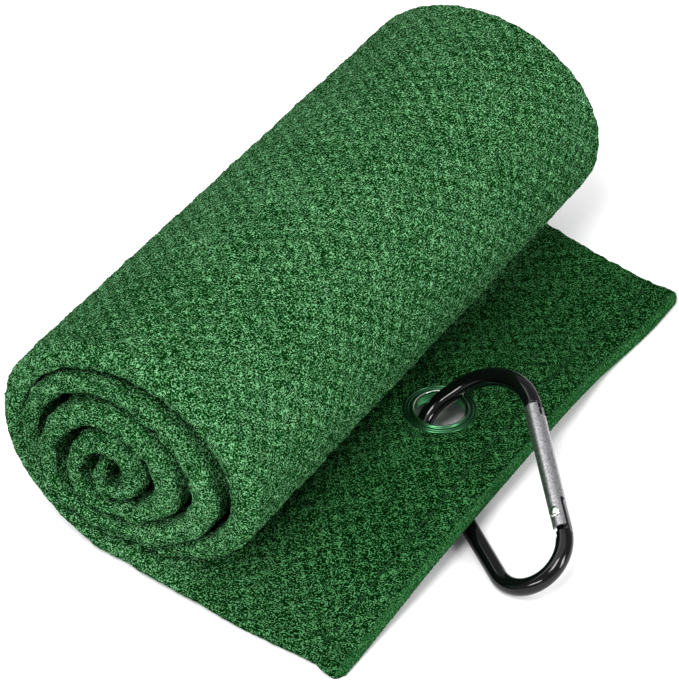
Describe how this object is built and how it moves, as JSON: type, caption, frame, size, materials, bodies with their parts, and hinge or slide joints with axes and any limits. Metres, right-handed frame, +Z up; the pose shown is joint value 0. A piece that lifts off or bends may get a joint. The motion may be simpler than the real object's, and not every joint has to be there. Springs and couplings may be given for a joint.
{
  "type": "golf towel",
  "caption": "Waffle-knit microfibre towel folded in thirds and rolled, with a metal eyelet in its free end and a spring-gate carabiner clipped through it.",
  "frame": {"origin": "on the surface the towel rests on, under the roll's middle", "axes": "+Z up, Y along the roll, +X towards the free end with the eyelet and carabiner"},
  "size_m": [0.1076, 0.1458, 0.0528],
  "materials": {
    "cloth": "waffle-knit microfibre pile, green",
    "thread": "polyester sewing thread, green",
    "eyelet_metal": "polished nickel plate",
    "black_aluminium": "glossy black anodised",
    "silver_aluminium": "satin silver",
    "bright_steel": "bright steel"
  },
  "bodies": {
    "towel": {"towel_cloth": "cloth", "hem_thread": "thread", "eyelet_front": "eyelet_metal", "eyelet_washer": "eyelet_metal"},
    "carabiner": {"carabiner_body": "black_aluminium", "gate_rivet": "bright_steel"},
    "gate": {"gate_tube": "silver_aluminium", "gate_spring": "bright_steel"},
    "plunger": {"gate_plunger": "bright_steel"}
  },
  "joints": [
    {"name": "carabiner_swing", "type": "hinge", "parent": "towel", "child": "carabiner", "pos_m": [0.03292, -0.00165, 0.0078], "axis": [0, 0, 1], "range_deg": [-15, 30]},
    {"name": "gate_hinge", "type": "hinge", "parent": "carabiner", "child": "gate", "pos_m": [0.07091, -0.02045, 0.0122], "axis": [-0.3355, -0.4978, 0.7998], "range_deg": [0, 20], "stiffness_Nm_per_rad": 0.02, "springref_deg": -17.19},
    {"name": "plunger_slide", "type": "slide", "parent": "gate", "child": "plunger", "axis": [-0.6363, 0.7458, 0.1973], "range_m": [0, 0.0002]}
  ],
  "couplings": [
    {"joint": "plunger_slide", "follows": "gate_hinge", "m_per_rad": 0.00045}
  ]
}
